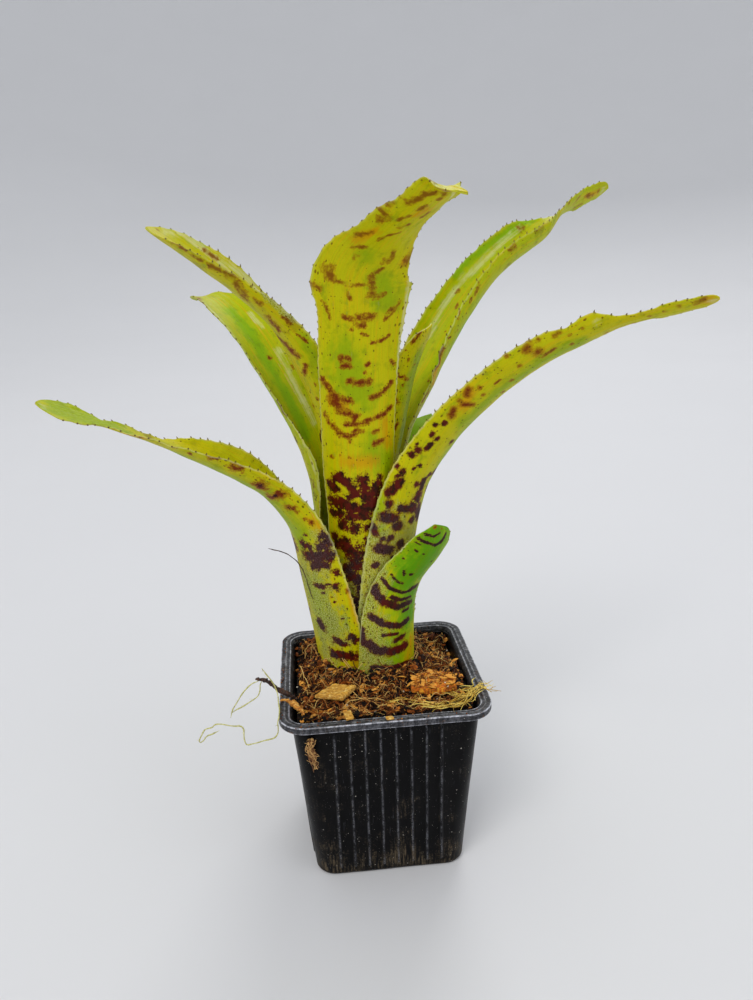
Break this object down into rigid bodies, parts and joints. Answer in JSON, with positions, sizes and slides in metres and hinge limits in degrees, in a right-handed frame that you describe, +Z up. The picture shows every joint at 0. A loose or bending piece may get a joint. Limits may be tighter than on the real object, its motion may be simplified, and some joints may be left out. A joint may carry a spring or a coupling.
{
  "type": "potted neoregelia bromeliad",
  "caption": "Young neoregelia bromeliad: an open rosette of spiny, folded strap leaves rising from bark potting mix in a small square ribbed nursery pot.",
  "frame": {"origin": "centre of the flat foot of the square pot", "axes": "+Z up, +X to the right and +Y to the back of the pot, along its sides"},
  "size_m": [0.1962, 0.1253, 0.2319],
  "materials": {
    "pot_plastic": "black, semi-gloss, dusty",
    "potting_mix": "damp peat and fine bark, matte",
    "stem_tissue": "matte, pale green-brown",
    "root": "wiry, brown, matte",
    "leaf_green": "waxy, bright green with maroon spots and bands",
    "leaf_yellow": "waxy, chartreuse with red-brown blotches",
    "bark_pale": "dry pale bark, matte",
    "bark_brown": "damp orange-brown bark, matte",
    "moss": "straw-yellow dry moss, matte",
    "pale_strand": "pale yellow-green fibre, matte",
    "dry_fibre": "dark dry fibre, matte"
  },
  "bodies": {
    "root": {"anchor_root_1": "root", "anchor_root_2": "root", "anchor_root_3": "root", "anchor_root_4": "root", "anchor_root_5": "root", "anchor_root_6": "root", "bark_chip_pale": "bark_pale", "bark_chunk_back": "bark_brown", "bark_chunk_right": "bark_brown", "bark_stick": "bark_brown", "debris_twig": "dry_fibre", "dry_hair": "dry_fibre", "fibre_clump": "dry_fibre", "hanging_strand_long": "pale_strand", "hanging_strand_lower": "pale_strand", "hanging_strand_upper": "pale_strand", "leaf_back_short": "leaf_green", "leaf_centre": "leaf_yellow", "leaf_front_short": "leaf_green", "leaf_heart": "leaf_green", "leaf_long_right": "leaf_yellow", "leaf_low_left": "leaf_yellow", "leaf_mid_left": "leaf_green", "leaf_upper_left": "leaf_yellow", "leaf_upper_right": "leaf_green", "leaf_young": "leaf_yellow", "moss_strand_1": "moss", "moss_strand_2": "moss", "moss_strand_3": "moss", "nursery_pot": "pot_plastic", "potting_mix": "potting_mix", "rim_chip_left": "bark_pale", "rim_chip_middle": "bark_pale", "stem": "stem_tissue"}
  },
  "joints": []
}
